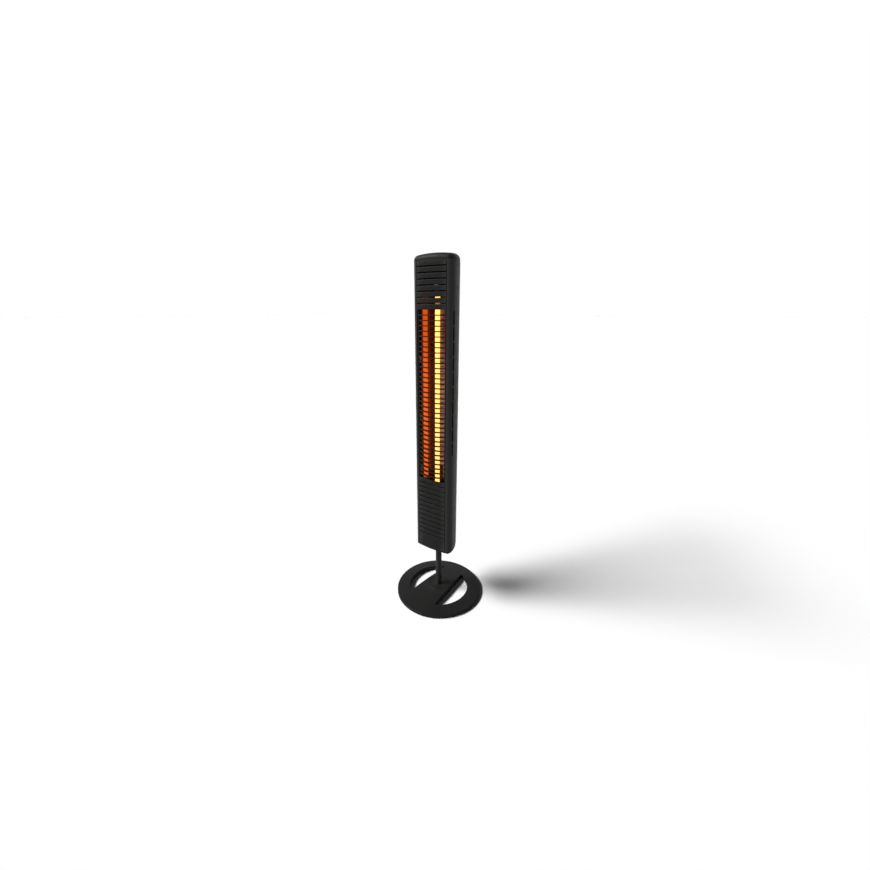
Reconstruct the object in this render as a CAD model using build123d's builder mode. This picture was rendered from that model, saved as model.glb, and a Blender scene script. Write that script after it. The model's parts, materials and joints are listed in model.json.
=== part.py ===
"""Infrared patio heater tower: a slim upright head on a short pole and a round base.

Millimetres. +Z is up, the floor is Z = 0, the pole stands on X = Y = 0 and the front faces -Y.
"""
import os
from math import cos, radians, sin, sqrt, tan

from build123d import *

os.makedirs("parts", exist_ok=True)

# ---------------------------------------------------------------- fits and clearances
SLIP = 0.05  # radial clearance of a threaded, welded or running round fit
SEAT_GAP = 0.3  # gap beside a piece that is only held against its neighbour
SEAM = 1.0  # visible seam round the middle disc of the base
PANEL_GAP = 2.0  # dark line at each side of the front panel

# ---------------------------------------------------------------- base
BASE_RADIUS = 150.0
FOOT_STAND = 2.0  # height of the underside above the floor
RIM_HEIGHT = 10.0
CROWN = 12.0  # rise of the domed top from rim to middle
RIM_ROUND = 1.5
CUT_OUT_RADIUS = 105.0
RIGHT_CHORD = 44.0  # straight edge of the right cut-out, from the axis
LEFT_CHORD = 48.5
LEFT_CHORD_TURN = 10.5  # degrees that the left straight edge leans
CUT_OUT_CORNER = 4.0
CUT_OUT_EDGE = 0.8
FLANGE_RADIUS = 37.4
FLANGE_SEAT = 12.0  # height of the recess floor that the middle disc lies on
FLANGE_EDGE = 0.8
FOOT_RADIUS = 11.0
FOOT_RECESS = 2.0
FOOT_CIRCLE = 132.0
FOOT_COUNT = 6
BASE_BOLT_RADIUS = 3.0
BASE_BOLT_CIRCLE = 25.0
BASE_BOLT_COUNT = 4
BASE_BOLT_HEAD_RADIUS = 5.0
BASE_BOLT_HEAD_HEIGHT = 3.2
BASE_BOLT_GRIP = 7.0  # length of bolt inside the middle disc
BASE_BOLT_SINK = 0.6  # how far the heads lie inside the underside
BASE_BOLT_CLEARANCE = 0.4
WASHER_THICKNESS = 1.2
WASHER_RADIUS = 5.8

# ---------------------------------------------------------------- pole
POLE_RADIUS = 10.5
POLE_WALL = 2.0
SOCKET_DEPTH = 52.0  # length of pole held in the head

# ---------------------------------------------------------------- head
HEAD_BOTTOM = 190.0
HEAD_TOP = 1150.5
HEAD_WIDTH = 137.0
FRONT_Y = -48.0
HEAD_DEPTH = 96.0
RIDGE_BACK = 23.5  # from the front to the ridge along each side, where the head is widest
FRONT_BOW_RADIUS = 420.0
REAR_BOW_RADIUS = 120.0
FRONT_SIDE_RADIUS = 200.0  # of each side in front of its ridge
FRONT_SIDE_LEAN = 8.0  # degrees that the side in front of the ridge turns towards the front there
REAR_SIDE_RADIUS = 120.0
REAR_SIDE_LEAN = 3.0
FRONT_CORNER = 16.5
REAR_CORNER = 28.0
WALL = 2.0
CAP_THICKNESS = 8.0  # bottom cap below the housing
TOP_CAP_HEIGHT = 23.5  # top cap above the housing, at its middle
TOP_CROWN_RADIUS = 450.0
TOP_EDGE = 16.0
BOTTOM_EDGE = 7.0
SPIGOT = 9.0  # depth of the caps' rims inside the housing
SPIGOT_WALL = 2.0
PORT_RADIUS = 4.0  # screw ports along the inside of the housing
PORT_BORE = 1.7
FRONT_PORT_INSET = 8.8  # from the widest side
FRONT_PORT_BACK = 10.3  # from the front
REAR_PORT_INSET = 22.0
REAR_PORT_BACK = 15.0  # from the rear
FILL_BACK = 19.0  # from the front to the rims and cross plates that fill the housing
SIDE_SLOT_COUNT = 10
SIDE_SLOT_PITCH = 44.8
SIDE_SLOT_BRIDGE = 4.6
SIDE_SLOT_WIDTH = 6.0
SIDE_SLOT_TO_RIDGE = 0.4
SIDE_SLOT_DROP = 1.0  # from the top of the opening to the slots

# ---------------------------------------------------------------- front panel and grille
FRAME_STRIP = 16.0  # housing seen at each side of the panel
PANEL_THICKNESS = 2.4
PANEL_RETURN = 12.0  # depth of the panel's folded sides, and of the housing's lips
PANEL_FOLD = 1.5
PANEL_END_GAP = 0.5
SLOT_PITCH = 17.15
SLOT_HEIGHT = 3.2
TOP_SLOT_COUNT = 7
BOTTOM_SLOT_COUNT = 12
TOP_SLOT_DROP = 13.5  # from the top cap to the highest slot
BOTTOM_SLOT_RISE = 48.5  # from the bottom cap to the lowest slot
SLAT_ROUND = 1.6
BAR_COUNT = 34
BAR_THICKNESS = 3.2
BAR_DEPTH = 8.0  # in the middle; the bars taper towards the rails
BAR_END_INSET = 0.4  # from the rails' front and rear faces to the ends of the bars
BAR_BULGE = 10.4  # how far the bars stand in front of the panel
GRILLE_RAIL_THICKNESS = 2.0
GRILLE_RAIL_DEPTH = 4.0
CLIP_LEAF = 1.4
CLIP_HEIGHT = 16.0
CLIP_ROWS = 5
CLIP_REACH = 3.0

# ---------------------------------------------------------------- heat lamp and reflector
LAMP_BACK = 38.0  # from the front
LAMP_RADIUS = 8.5
LAMP_WALL = 1.0
HOT_BELOW = 22.5  # glowing length below the opening
HOT_ABOVE = 43.0  # and above it
LAMP_IN_CAP = 10.0  # length of quartz tube inside each ceramic end
CERAMIC_RADIUS = 11.0
CERAMIC_LENGTH = 34.0
CERAMIC_ROUND = 1.0
RIBBON_WIDTH = 8.0
RIBBON_THICKNESS = 0.8
LAMP_PIN_RADIUS = 1.2
BULKHEAD_THICKNESS = 6.0
BULKHEAD_TO_HOT = 19.5  # from the glowing length to the nearer face of a bulkhead
COLLAR_WALL = 1.5
COLLAR_HEIGHT = 4.0
REFLECTOR_BACK = 65.0  # from the front
REFLECTOR_LIP_GAP = 1.8  # between the reflector's front lips and the back of the panel's folds
REFLECTOR_LIP = 6.4
REFLECTOR_MOUTH_INSET = 4.4  # from the panel's folds to the front of the wings
REFLECTOR_WING_ANGLE = 21.0
REFLECTOR_SHEET = 1.0
SHIELD_GAP = 8.0
SHIELD_SHEET = 0.8
SHIELD_WIDTH = 60.0
SHIELD_SIDE = 8.0

# ---------------------------------------------------------------- screws in the head
SCREW_RADIUS = 1.65
SCREW_HEAD_RADIUS = 3.2
SCREW_HEAD_HEIGHT = 2.2
SCREW_GRIP = 12.0
SCREW_CLEARANCE = 0.4

# ---------------------------------------------------------------- pole socket and cable gland
SOCKET_WALL = 4.0
SOCKET_FLANGE_RADIUS = 24.0
SOCKET_FLANGE = 4.0
SOCKET_SCREW_CIRCLE = 18.5
SOCKET_SCREW_COUNT = 4
SOCKET_SCREW_BITE = 4.5
GRUB_RADIUS = 2.5
GLAND_BACK = 13.0  # from the rear
GLAND_THREAD_RADIUS = 6.0
GLAND_BORE_RADIUS = 3.8
GLAND_HEX_RADIUS = 8.0
GLAND_HEX = 5.0
GLAND_DOME = 11.0
GLAND_LOCKNUT = 4.0
GLAND_SEAL_WALL = 1.2
GLAND_SEAL_LENGTH = 10.0
GLAND_TIP = 1.0  # thread beyond the locknut
GLAND_DOME_TAPER = 8.0

# ---------------------------------------------------------------- electrics
PLATE_BACK = 56.0  # from the front
PLATE_WIDTH = 76.0
PLATE_SHEET = 1.5
PLATE_RISE = 66.0  # from the bottom cap
PLATE_FLANGE = 16.0
PLATE_SCREW_X = 26.0
PLATE_SCREW_BITE = 4.5
TERMINAL_SIZE = (42.0, 16.0, 20.0)
TERMINAL_DROP = 64.5  # from the lower bulkhead
TERMINAL_POLES = 3
TERMINAL_PITCH = 12.0
TERMINAL_SCREW_RADIUS = 1.75
TERMINAL_SCREW_LENGTH = 5.0
TERMINAL_ROUND = 1.5
SCREW_SLOT_WIDTH = 0.6
SCREW_SLOT_DEPTH = 0.8
CUT_OFF_X = 22.0
CUT_OFF_DROP = 32.5
CUT_OFF_RADIUS = 8.0
CUT_OFF_HEIGHT = 9.0
CUT_OFF_FLANGE = 26.0
CUT_OFF_STRAP = 1.0
TILT_X = -26.0
TILT_PIVOT_DROP = 38.5
TILT_ARM = 24.0
TILT_BOB_RADIUS = 6.0
TILT_BOB_THICKNESS = 5.0
TILT_HUB_RADIUS = 3.6
TILT_FINGER = 7.0
TILT_PIN_RADIUS = 1.5
PIN_SHOULDER = 1.2
TILT_BASE = (22.0, 2.0, 52.0)
TILT_SENSOR = (12.0, 7.0, 8.0)
TILT_SIDE_GAP = 1.5  # between the base and the swinging pendulum
TILT_CORNER = 2.0
PIVOT_PLAY = 0.08
PIVOT_END_PLAY = 0.2
SENSOR_GAP = 1.5
LEAD_RADIUS = 1.4
LEAD_X = 24.0
LEAD_BACK = 17.0  # from the rear
LEAD_RISE = 16.0
LEAD_HOLE = 3.0
LEAD_BEND = 6.0
LEAD_PIN_GAP = 1.0  # from the end of a lead to what it stops at
LEAD_TAIL = 8.0  # length of lead inside the terminal block
LOWER_LEAD_DROP = 30.5
EARTH_X = -30.0
EARTH_RISE = 18.0  # above the bottom of the plate
EARTH_RADIUS = 2.0
EARTH_LENGTH = 12.0
EARTH_NUT = 3.2
EARTH_NUT_RADIUS = 3.9

# ---------------------------------------------------------------- power button, on the rear
BUTTON_RISE = 102.0  # from the bottom cap
BUTTON_RADIUS = 6.0
BUTTON_TRAVEL = 2.5
BUTTON_PROUD = 3.5
BUTTON_RUNNING_GAP = 0.1
BEZEL_RADIUS = 12.0
BEZEL_FLANGE = 2.5
BARREL_RADIUS = 8.5
BARREL_LENGTH = 20.0  # behind the pad's outer face
PAD_RADIUS = 15.0
PAD_PROUD = 0.5
PAD_THICKNESS = 5.0
SEAL_THICKNESS = 1.2
SWITCH_NUT = 3.0
SWITCH_NUT_RADIUS = 10.5
BLADE_THICKNESS = 0.8
BLADE_WIDTH = 4.8
BLADE_LENGTH = 8.0
BEZEL_ROUND = 1.0
BUTTON_ROUND = 1.2

# ---------------------------------------------------------------- levels and places worked out
RIM_TOP = FOOT_STAND + RIM_HEIGHT
BASE_TOP = RIM_TOP + CROWN
DOME_RADIUS = (BASE_RADIUS**2 + CROWN**2) / (2 * CROWN)
BASE_BOLT_SEAT = FOOT_STAND + BASE_BOLT_HEAD_HEIGHT + WASHER_THICKNESS + BASE_BOLT_SINK

HOUSING_BOTTOM = HEAD_BOTTOM + CAP_THICKNESS
HOUSING_TOP = HEAD_TOP - TOP_CAP_HEIGHT
REAR_Y = FRONT_Y + HEAD_DEPTH
RIDGE_Y = FRONT_Y + RIDGE_BACK
BOW_AXIS_Y = FRONT_Y + FRONT_BOW_RADIUS
SIDE_SLOT_Y = RIDGE_Y - SIDE_SLOT_TO_RIDGE - SIDE_SLOT_WIDTH / 2
REAR_PORT_Y = REAR_Y - REAR_PORT_BACK
PORTS = [
    (side * (HEAD_WIDTH / 2 - inset), y)
    for side in (-1, 1)
    for inset, y in ((FRONT_PORT_INSET, FRONT_Y + FRONT_PORT_BACK), (REAR_PORT_INSET, REAR_PORT_Y))
]
REAR_PORTS = [port for port in PORTS if port[1] == REAR_PORT_Y]
POLE_TOP = HOUSING_BOTTOM + SOCKET_DEPTH
SOCKET_TOP = POLE_TOP + SOCKET_WALL

PANEL_WIDTH = HEAD_WIDTH - 2 * (FRAME_STRIP + PANEL_GAP)
PANEL_BOTTOM = HOUSING_BOTTOM + PANEL_END_GAP
PANEL_TOP = HOUSING_TOP - PANEL_END_GAP
PANEL_INNER = PANEL_WIDTH / 2 - PANEL_FOLD
PANEL_EDGE_Y = BOW_AXIS_Y - sqrt(FRONT_BOW_RADIUS**2 - (PANEL_WIDTH / 2) ** 2)
RETURN_Y = FRONT_Y + PANEL_RETURN
WINDOW_HALF = PANEL_WIDTH / 2 + PANEL_GAP
TOP_SLOTS = [HOUSING_TOP - TOP_SLOT_DROP - SLOT_PITCH * i for i in range(TOP_SLOT_COUNT)]
BOTTOM_SLOTS = [HOUSING_BOTTOM + BOTTOM_SLOT_RISE + SLOT_PITCH * i for i in range(BOTTOM_SLOT_COUNT)]
OPENING_TOP = min(TOP_SLOTS) - SLOT_PITCH
OPENING_BOTTOM = max(BOTTOM_SLOTS) + SLOT_PITCH

LAMP_Y = FRONT_Y + LAMP_BACK
HOT_BOTTOM = OPENING_BOTTOM - HOT_BELOW
HOT_TOP = OPENING_TOP + HOT_ABOVE
LOWER_BULKHEAD = HOT_BOTTOM - BULKHEAD_TO_HOT - BULKHEAD_THICKNESS
LOWER_BULKHEAD_TOP = LOWER_BULKHEAD + BULKHEAD_THICKNESS
UPPER_BULKHEAD = HOT_TOP + BULKHEAD_TO_HOT
REFLECTOR_BACK_Y = FRONT_Y + REFLECTOR_BACK
REFLECTOR_FRONT_Y = RETURN_Y + REFLECTOR_LIP_GAP
REFLECTOR_MOUTH_X = PANEL_INNER - REFLECTOR_MOUTH_INSET

GLAND_Y = REAR_Y - GLAND_BACK
GLAND_LENGTH = GLAND_HEX + CAP_THICKNESS + GLAND_LOCKNUT + GLAND_TIP
PLATE_Y = FRONT_Y + PLATE_BACK
PLATE_BACK_Y = PLATE_Y + PLATE_SHEET
PLATE_TOP = LOWER_BULKHEAD
PLATE_BOTTOM = HOUSING_BOTTOM + PLATE_RISE
TERMINAL_Z = LOWER_BULKHEAD - TERMINAL_DROP
CUT_OFF_Z = LOWER_BULKHEAD - CUT_OFF_DROP
TILT_PIVOT_Z = LOWER_BULKHEAD - TILT_PIVOT_DROP
LOWER_LEAD_Z = LOWER_BULKHEAD - LOWER_LEAD_DROP
LEAD_Y = REAR_Y - LEAD_BACK
EARTH_Z = PLATE_BOTTOM + EARTH_RISE
BUTTON_Z = HOUSING_BOTTOM + BUTTON_RISE
PAD_FACE_Y = REAR_Y + PAD_PROUD


# ---------------------------------------------------------------- shared shapes
def dome_height(radius):
    """Height of the base's domed top at a distance from the axis."""
    return BASE_TOP - DOME_RADIUS + sqrt(DOME_RADIUS**2 - radius**2)


def domed_disc(radius, bottom):
    """Disc with the base's domed top and a flat underside."""
    with BuildPart() as disc:
        with BuildSketch(Plane.XZ):
            with BuildLine():
                rim = (radius, dome_height(radius))
                crown = (0, dome_height(0))
                Polyline(crown, (0, bottom), (radius, bottom), rim)
                ThreePointArc(rim, (radius / 2, dome_height(radius / 2)), crown)
            make_face()
        revolve(axis=Axis.Z)
    return disc.part


def cut_out(chord, turn):
    """D-shaped cut-out of the base: the part of a circle beyond a chord, turned about the axis."""
    with BuildSketch() as outline:
        Circle(CUT_OUT_RADIUS)
        with Locations((chord - CUT_OUT_RADIUS, 0)):
            Rectangle(2 * CUT_OUT_RADIUS, 2 * CUT_OUT_RADIUS, mode=Mode.SUBTRACT)
        fillet(outline.vertices(), CUT_OUT_CORNER)
    return outline.sketch.rotate(Axis.Z, turn)


def head_outline(inset=0.0):
    """Plan of the head, drawn in by inset: the overlap of six large circles, with round corners."""
    with BuildSketch() as outline:
        with Locations((0, BOW_AXIS_Y)):
            Circle(FRONT_BOW_RADIUS - inset)
        with Locations((0, REAR_Y - REAR_BOW_RADIUS)):
            Circle(REAR_BOW_RADIUS - inset, mode=Mode.INTERSECT)
        for radius, lean in ((FRONT_SIDE_RADIUS, FRONT_SIDE_LEAN), (REAR_SIDE_RADIUS, -REAR_SIDE_LEAN)):
            across = HEAD_WIDTH / 2 - radius * cos(radians(lean))
            along = RIDGE_Y + radius * sin(radians(lean))
            for side in (-1, 1):
                with Locations((side * across, along)):
                    Circle(radius - inset, mode=Mode.INTERSECT)
        fillet(outline.vertices().sort_by(Axis.Y)[:2], FRONT_CORNER - inset)
        fillet(outline.vertices().sort_by(Axis.Y)[-2:], REAR_CORNER - inset)
    return outline.sketch


def bowed_strip(width, thickness, inset=0.0):
    """Plan of a strip that follows the bowed front, drawn in by inset."""
    with BuildSketch() as strip:
        with Locations((0, BOW_AXIS_Y)):
            Circle(FRONT_BOW_RADIUS - inset)
            Circle(FRONT_BOW_RADIUS - inset - thickness, mode=Mode.SUBTRACT)
        with Locations((0, FRONT_Y)):
            Rectangle(width, 4 * PANEL_RETURN, mode=Mode.INTERSECT)
    return strip.sketch


def cap_rim():
    """Plan of a cap's rim: it lines the housing behind the front ports and clears all ports."""
    with BuildSketch() as rim:
        add(head_outline(WALL + SEAT_GAP))
        add(head_outline(WALL + SEAT_GAP + SPIGOT_WALL), mode=Mode.SUBTRACT)
        with Locations((0, FRONT_Y + FILL_BACK)):
            Rectangle(2 * HEAD_WIDTH, HEAD_DEPTH, align=(Align.CENTER, Align.MAX), mode=Mode.SUBTRACT)
        with Locations(*PORTS):
            Circle(PORT_RADIUS + SEAT_GAP, mode=Mode.SUBTRACT)
    return rim.sketch


def bulkhead_plan():
    """Plan of a bulkhead: it fills the housing behind the front ports, with holes for what passes."""
    with BuildSketch() as plan:
        add(head_outline(WALL + SEAT_GAP))
        with Locations((0, FRONT_Y + FILL_BACK)):
            Rectangle(2 * HEAD_WIDTH, HEAD_DEPTH, align=(Align.CENTER, Align.MAX), mode=Mode.SUBTRACT)
        with Locations(*PORTS):
            Circle(PORT_RADIUS + SEAT_GAP, mode=Mode.SUBTRACT)
        with Locations((0, LAMP_Y)):
            Circle(CERAMIC_RADIUS + SEAT_GAP, mode=Mode.SUBTRACT)
        with Locations((LEAD_X, LEAD_Y)):
            Circle(LEAD_HOLE, mode=Mode.SUBTRACT)
    return plan.sketch


def screws(plane, places, length, radius=SCREW_RADIUS, head_radius=SCREW_HEAD_RADIUS, head=SCREW_HEAD_HEIGHT):
    """Pan-head screws: heads on the plane, shanks along its normal, or against it where length < 0."""
    forward = 1 if length > 0 else -1
    with BuildPart() as group:
        with BuildSketch(plane):
            with Locations(*places):
                Circle(radius)
        extrude(amount=length)
        with BuildSketch(plane):
            with Locations(*places):
                Circle(head_radius)
        extrude(amount=-head * forward)
        along = Axis(plane.origin, plane.z_dir * forward)
        fillet(group.edges().filter_by(GeomType.CIRCLE).group_by(along)[0], head * 0.4)
        with BuildSketch(plane.offset(-head * forward)):
            with Locations(*places):
                RegularPolygon(head_radius * 0.45, 6)
        extrude(amount=head * 0.55 * forward, mode=Mode.SUBTRACT)
    return group.part


def rim_edges(piece, radius):
    """Level round edges of a radius, from the lowest up."""
    rims = piece.edges().filter_by(GeomType.CIRCLE).filter_by(lambda e: abs(e.radius - radius) < SLIP)
    return rims.sort_by(Axis.Z)


def circle_places(radius, count, start=0.0):
    """Places evenly spaced round the axis."""
    return [
        (radius * cos(radians(start + 360 * i / count)), radius * sin(radians(start + 360 * i / count)))
        for i in range(count)
    ]


FOOT_PLACES = circle_places(FOOT_CIRCLE, FOOT_COUNT)
BASE_BOLT_PLACES = circle_places(BASE_BOLT_CIRCLE, BASE_BOLT_COUNT, 45)
SOCKET_SCREW_PLACES = circle_places(SOCKET_SCREW_CIRCLE, SOCKET_SCREW_COUNT, 45)


# ---------------------------------------------------------------- base
with BuildPart() as base_plate:
    add(domed_disc(BASE_RADIUS, FOOT_STAND))
    fillet(rim_edges(base_plate, BASE_RADIUS), RIM_ROUND)
    with BuildSketch(Plane.XY):
        add(cut_out(RIGHT_CHORD, 0))
        add(cut_out(LEFT_CHORD, 180 - LEFT_CHORD_TURN))
    extrude(amount=BASE_TOP + CROWN, mode=Mode.SUBTRACT)
    brims = base_plate.edges(Select.LAST).filter_by(lambda e: e.center().Z > RIM_TOP)
    fillet(brims, CUT_OUT_EDGE)
    with BuildSketch(Plane.XY.offset(FLANGE_SEAT)):
        Circle(FLANGE_RADIUS + SEAM)
    extrude(amount=BASE_TOP, mode=Mode.SUBTRACT)
    with BuildSketch(Plane.XY):
        with Locations(*BASE_BOLT_PLACES):
            Circle(BASE_BOLT_RADIUS + BASE_BOLT_CLEARANCE)
    extrude(amount=BASE_TOP, mode=Mode.SUBTRACT)
    with BuildSketch(Plane.XY):
        with Locations(*BASE_BOLT_PLACES):
            Circle(WASHER_RADIUS + SEAT_GAP)
    extrude(amount=BASE_BOLT_SEAT, mode=Mode.SUBTRACT)
    with BuildSketch(Plane.XY):
        with Locations(*FOOT_PLACES):
            Circle(FOOT_RADIUS + SEAT_GAP)
    extrude(amount=FOOT_STAND + FOOT_RECESS, mode=Mode.SUBTRACT)

with BuildPart() as rubber_feet:
    with BuildSketch(Plane.XY):
        with Locations(*FOOT_PLACES):
            Circle(FOOT_RADIUS)
    extrude(amount=FOOT_STAND + FOOT_RECESS)
    chamfer(rubber_feet.edges().group_by(Axis.Z)[0], FOOT_STAND * 0.3)

with BuildPart() as pole_flange:
    add(domed_disc(FLANGE_RADIUS, FLANGE_SEAT))
    chamfer(rim_edges(pole_flange, FLANGE_RADIUS)[-1], FLANGE_EDGE)
    with BuildSketch(Plane.XY.offset(FLANGE_SEAT)):
        Circle(POLE_RADIUS + SLIP)
    extrude(amount=BASE_TOP, mode=Mode.SUBTRACT)
    with BuildSketch(Plane.XY.offset(FLANGE_SEAT)):
        with Locations(*BASE_BOLT_PLACES):
            Circle(BASE_BOLT_RADIUS + SLIP)
    extrude(amount=BASE_BOLT_GRIP + SEAM, mode=Mode.SUBTRACT)

with BuildPart() as base_washers:
    with BuildSketch(Plane.XY.offset(BASE_BOLT_SEAT - WASHER_THICKNESS)):
        with Locations(*BASE_BOLT_PLACES):
            Circle(WASHER_RADIUS)
            Circle(BASE_BOLT_RADIUS + BASE_BOLT_CLEARANCE, mode=Mode.SUBTRACT)
    extrude(amount=WASHER_THICKNESS)

with BuildPart() as base_bolts:
    under_washer = BASE_BOLT_SEAT - WASHER_THICKNESS
    bolt_length = FLANGE_SEAT + BASE_BOLT_GRIP - under_washer
    bolt_sizes = (bolt_length, BASE_BOLT_RADIUS, BASE_BOLT_HEAD_RADIUS, BASE_BOLT_HEAD_HEIGHT)
    add(screws(Plane.XY.offset(under_washer), BASE_BOLT_PLACES, *bolt_sizes))

# ---------------------------------------------------------------- pole and its socket
with BuildPart() as pole:
    with BuildSketch(Plane.XY.offset(FLANGE_SEAT)):
        Circle(POLE_RADIUS)
        Circle(POLE_RADIUS - POLE_WALL, mode=Mode.SUBTRACT)
    extrude(amount=POLE_TOP - FLANGE_SEAT)

with BuildPart() as pole_socket:
    with BuildSketch(Plane.XY.offset(HOUSING_BOTTOM)):
        Circle(SOCKET_FLANGE_RADIUS)
    extrude(amount=SOCKET_FLANGE)
    with BuildSketch(Plane.XY.offset(HOUSING_BOTTOM)):
        Circle(POLE_RADIUS + SOCKET_WALL)
    extrude(amount=SOCKET_TOP - HOUSING_BOTTOM)
    chamfer(rim_edges(pole_socket, SOCKET_FLANGE_RADIUS)[-1], SOCKET_FLANGE * 0.2)
    with BuildSketch(Plane.XY.offset(HOUSING_BOTTOM)):
        Circle(POLE_RADIUS + SLIP)
    extrude(amount=SOCKET_DEPTH, mode=Mode.SUBTRACT)
    with BuildSketch(Plane.XY.offset(POLE_TOP)):
        Circle(POLE_RADIUS - POLE_WALL)
    extrude(amount=SOCKET_WALL, mode=Mode.SUBTRACT)
    with BuildSketch(Plane.XY.offset(HOUSING_BOTTOM)):
        with Locations(*SOCKET_SCREW_PLACES):
            Circle(SCREW_RADIUS + SCREW_CLEARANCE)
    extrude(amount=SOCKET_FLANGE, mode=Mode.SUBTRACT)
    grub_plane = Plane.XZ.offset(-POLE_RADIUS - SOCKET_WALL)
    grub_levels = [HOUSING_BOTTOM + SOCKET_DEPTH * share for share in (0.45, 0.8)]
    with BuildSketch(grub_plane):
        with Locations(*[(0, level) for level in grub_levels]):
            Circle(GRUB_RADIUS + SLIP)
    extrude(amount=SOCKET_WALL + POLE_WALL / 2, mode=Mode.SUBTRACT)

with BuildPart() as pole_grub_screws:
    with BuildSketch(grub_plane):
        with Locations(*[(0, level) for level in grub_levels]):
            Circle(GRUB_RADIUS)
            RegularPolygon(GRUB_RADIUS * 0.5, 6, mode=Mode.SUBTRACT)
    extrude(amount=SOCKET_WALL - SLIP)

with BuildPart() as socket_screws:
    flange_top = Plane.XY.offset(HOUSING_BOTTOM + SOCKET_FLANGE)
    add(screws(flange_top, SOCKET_SCREW_PLACES, -SOCKET_FLANGE - SOCKET_SCREW_BITE))

# ---------------------------------------------------------------- caps
with BuildPart() as bottom_cap:
    with BuildSketch(Plane.XY.offset(HEAD_BOTTOM)):
        add(head_outline())
    extrude(amount=CAP_THICKNESS)
    fillet(bottom_cap.edges().group_by(Axis.Z)[0], BOTTOM_EDGE)
    with BuildSketch(Plane.XY.offset(HOUSING_BOTTOM)):
        add(cap_rim())
    extrude(amount=SPIGOT)
    with BuildSketch(Plane.XY.offset(HEAD_BOTTOM)):
        Circle(POLE_RADIUS + SEAT_GAP)
        with Locations((0, GLAND_Y)):
            Circle(GLAND_THREAD_RADIUS + SLIP)
        with Locations(*PORTS):
            Circle(SCREW_RADIUS + SCREW_CLEARANCE)
    extrude(amount=CAP_THICKNESS, mode=Mode.SUBTRACT)
    with BuildSketch(Plane.XY.offset(HEAD_BOTTOM)):
        with Locations(*PORTS):
            Circle(SCREW_HEAD_RADIUS + SEAT_GAP)
    extrude(amount=CAP_THICKNESS / 2, mode=Mode.SUBTRACT)
    with BuildSketch(Plane.XY.offset(HOUSING_BOTTOM)):
        with Locations(*SOCKET_SCREW_PLACES):
            Circle(SCREW_RADIUS + SLIP)
    extrude(amount=-SOCKET_SCREW_BITE - SEAT_GAP, mode=Mode.SUBTRACT)

with BuildPart() as bottom_cap_screws:
    add(screws(Plane.XY.offset(HEAD_BOTTOM + CAP_THICKNESS / 2), PORTS, CAP_THICKNESS / 2 + SCREW_GRIP))

CAP_WALL = WALL + SEAT_GAP + SPIGOT_WALL


def crowned_block(inset):
    """Top of the head above the housing, with a domed top and a rounded edge, drawn in by inset."""
    with BuildPart() as block:
        with BuildSketch(Plane.XY.offset(HOUSING_TOP)):
            add(head_outline(inset))
        extrude(amount=TOP_CAP_HEIGHT)
        with Locations((0, 0, HEAD_TOP - TOP_CROWN_RADIUS)):
            Sphere(TOP_CROWN_RADIUS - inset, mode=Mode.INTERSECT)
        fillet(block.faces().sort_by(Axis.Z)[-1].edges(), TOP_EDGE - inset)
    return block.part


with BuildPart() as cap_hollow:
    add(crowned_block(CAP_WALL))
    with BuildSketch(Plane.XY.offset(HOUSING_TOP)):
        with Locations(*REAR_PORTS):
            Circle(SCREW_HEAD_RADIUS + SEAT_GAP + SPIGOT_WALL)
    extrude(amount=TOP_CAP_HEIGHT, mode=Mode.SUBTRACT)

with BuildPart() as top_cap:
    add(crowned_block(0))
    add(cap_hollow.part, mode=Mode.SUBTRACT)
    with BuildSketch(Plane.XY.offset(HOUSING_TOP)):
        add(cap_rim())
    extrude(amount=-SPIGOT)
    with BuildSketch(Plane.XY.offset(HOUSING_TOP)):
        with Locations(*REAR_PORTS):
            Circle(SCREW_RADIUS + SCREW_CLEARANCE)
    extrude(amount=TOP_CAP_HEIGHT, mode=Mode.SUBTRACT)
    with BuildSketch(Plane.XY.offset(HOUSING_TOP + CAP_THICKNESS)):
        with Locations(*REAR_PORTS):
            Circle(SCREW_HEAD_RADIUS + SEAT_GAP)
    extrude(amount=TOP_CAP_HEIGHT, mode=Mode.SUBTRACT)

with BuildPart() as top_cap_screws:
    add(screws(Plane.XY.offset(HOUSING_TOP + CAP_THICKNESS), REAR_PORTS, -CAP_THICKNESS - SCREW_GRIP))

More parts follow.
